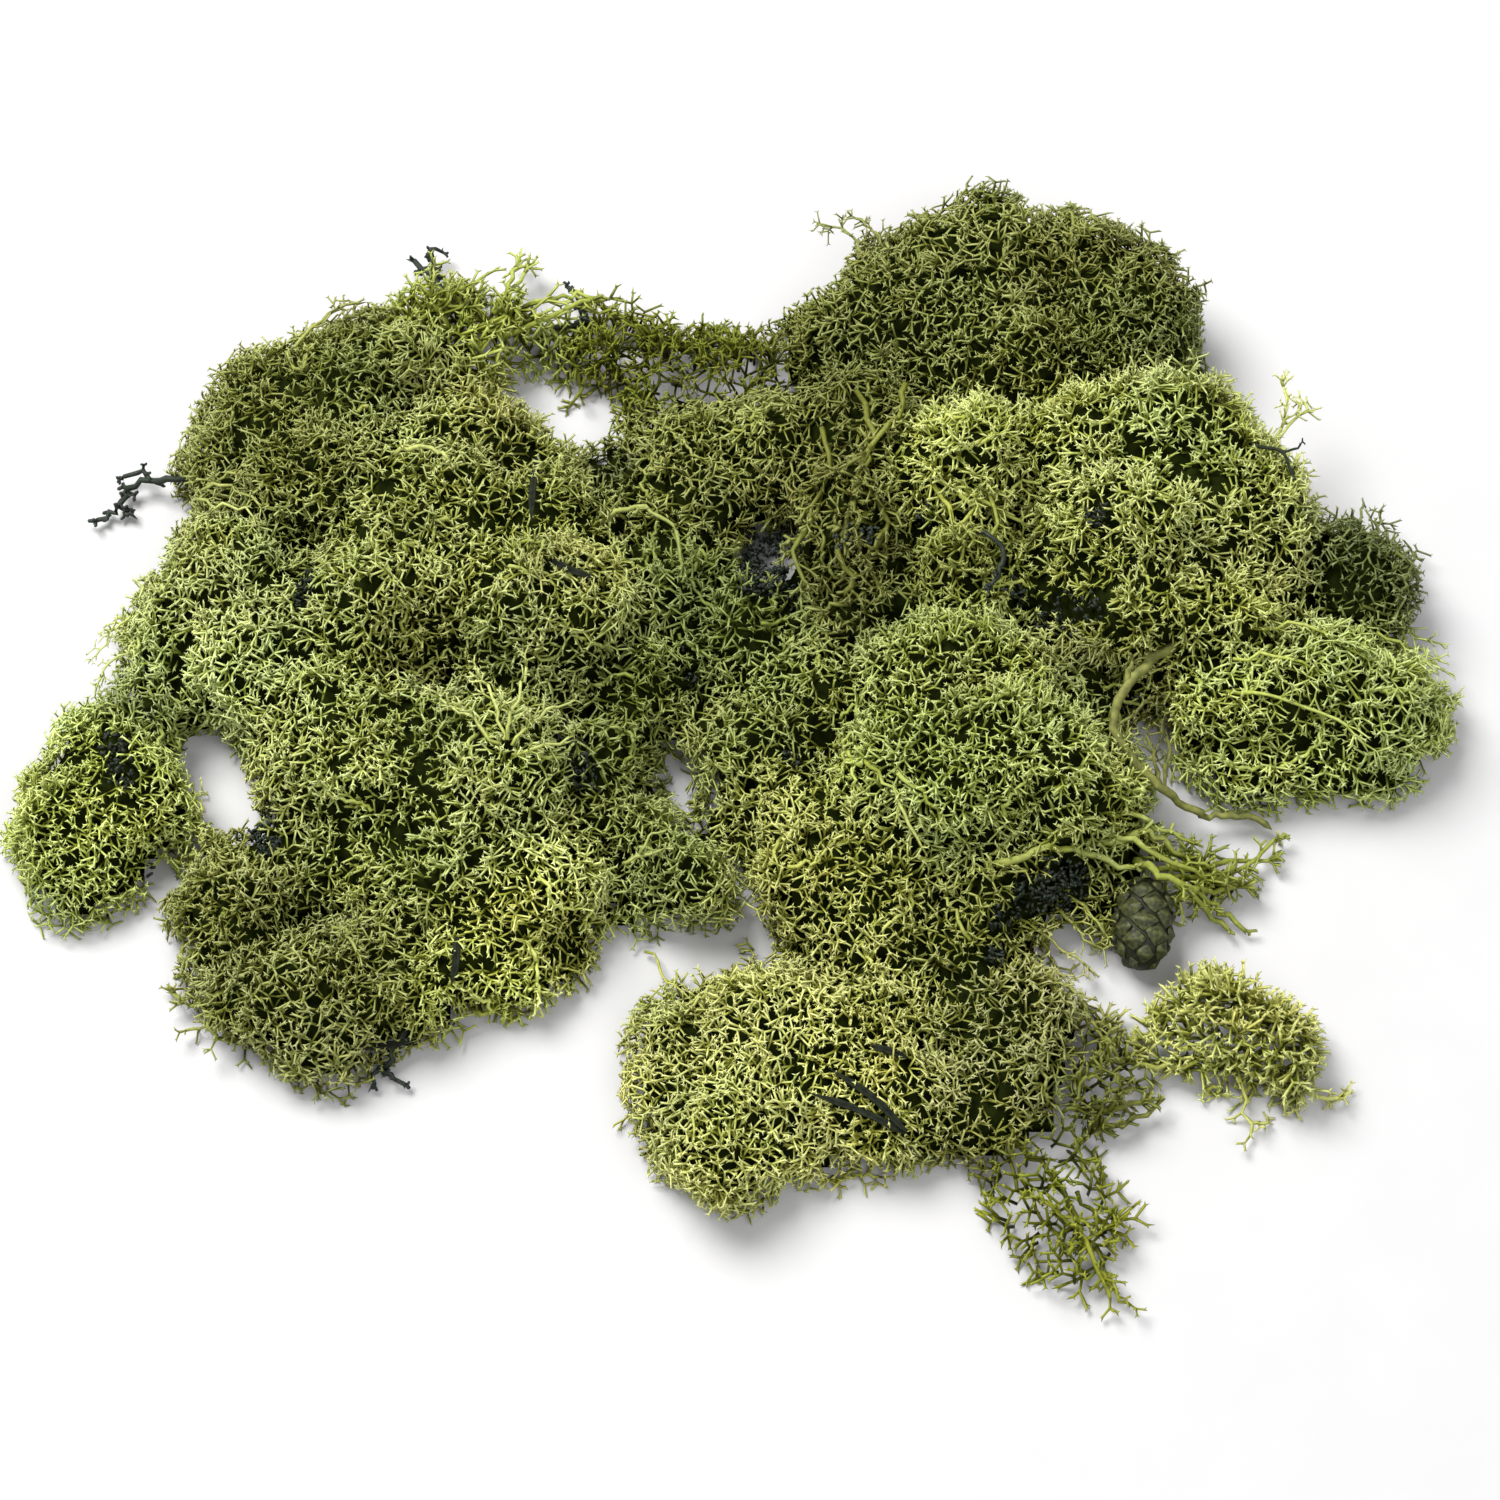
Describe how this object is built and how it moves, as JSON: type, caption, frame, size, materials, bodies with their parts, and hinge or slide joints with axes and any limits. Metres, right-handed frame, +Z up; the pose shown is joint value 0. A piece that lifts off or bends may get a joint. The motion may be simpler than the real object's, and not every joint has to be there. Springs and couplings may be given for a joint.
{
  "type": "reindeer moss clump",
  "caption": "Loose low clump of green branching reindeer lichen: interlocked tufted cushions with open sprays, a small cone, dry needles and dark plant scraps caught in it.",
  "frame": {"origin": "on the surface that the clump rests on, under the middle of its outline", "axes": "+X to the clump's right along its longest extent, +Y to its back, +Z up"},
  "size_m": [0.3703, 0.3025, 0.0561],
  "materials": {
    "lichen_pale": "matt dry branching lichen, pale yellow-green tips",
    "lichen_yellow": "matt dry branching lichen, bright yellow-green tips",
    "lichen_green": "matt dry branching lichen, mid green",
    "lichen_olive": "matt dry branching lichen, olive green",
    "lichen_dark": "matt dry branching lichen, dark olive",
    "lichen_ochre": "matt dry lichen, brown-olive stems",
    "dark_scrap": "matt blue-black dry plant scrap",
    "dry_needle": "dull grey-brown dry conifer needle",
    "cone_scales": "dull dark olive cone scales"
  },
  "bodies": {
    "root": {"far_left_cushion": "lichen_pale", "left_shoulder_cushion": "lichen_dark", "left_bright_cushion": "lichen_pale", "left_dome_cushion": "lichen_olive", "top_arm_spray": "lichen_green", "left_middle_cushion": "lichen_green", "left_centre_cushion": "lichen_green", "lower_left_cushion": "lichen_dark", "lower_bright_cushion": "lichen_green", "tongue_cushion": "lichen_olive", "left_back_cushion": "lichen_dark", "bridge_cushion": "lichen_olive", "centre_top_cushion": "lichen_olive", "combed_cushion": "lichen_ochre", "centre_cushion": "lichen_green", "centre_low_cushion": "lichen_olive", "front_centre_cushion": "lichen_green", "dark_dome_cushion": "lichen_dark", "yellow_head_cushion": "lichen_yellow", "bright_cap_cushion": "lichen_yellow", "between_cushion": "lichen_dark", "under_cap_cushion": "lichen_dark", "dark_edge_cushion": "lichen_dark", "right_green_cushion": "lichen_green", "centre_right_cushion": "lichen_green", "under_right_cushion": "lichen_dark", "right_spray": "lichen_green", "front_cushion": "lichen_pale", "front_net_cushion": "lichen_olive", "link_spray": "lichen_dark", "front_right_spray": "lichen_pale", "tail_spray": "lichen_olive", "dark_tuft": "dark_scrap", "long_stalk": "lichen_ochre", "needle_pair": "dry_needle", "needle_arm": "dry_needle", "needle_left_middle": "dry_needle", "needle_front": "dry_needle", "needle_lower": "dry_needle", "needle_bright": "dry_needle", "twig_right": "dark_scrap", "dark_scrap_left": "dark_scrap", "dark_scrap_top": "dark_scrap", "dark_scrap_arm": "dark_scrap", "dark_scrap_fold": "dark_scrap", "dark_scrap_bottom": "dark_scrap", "cone": "cone_scales"}
  },
  "joints": []
}
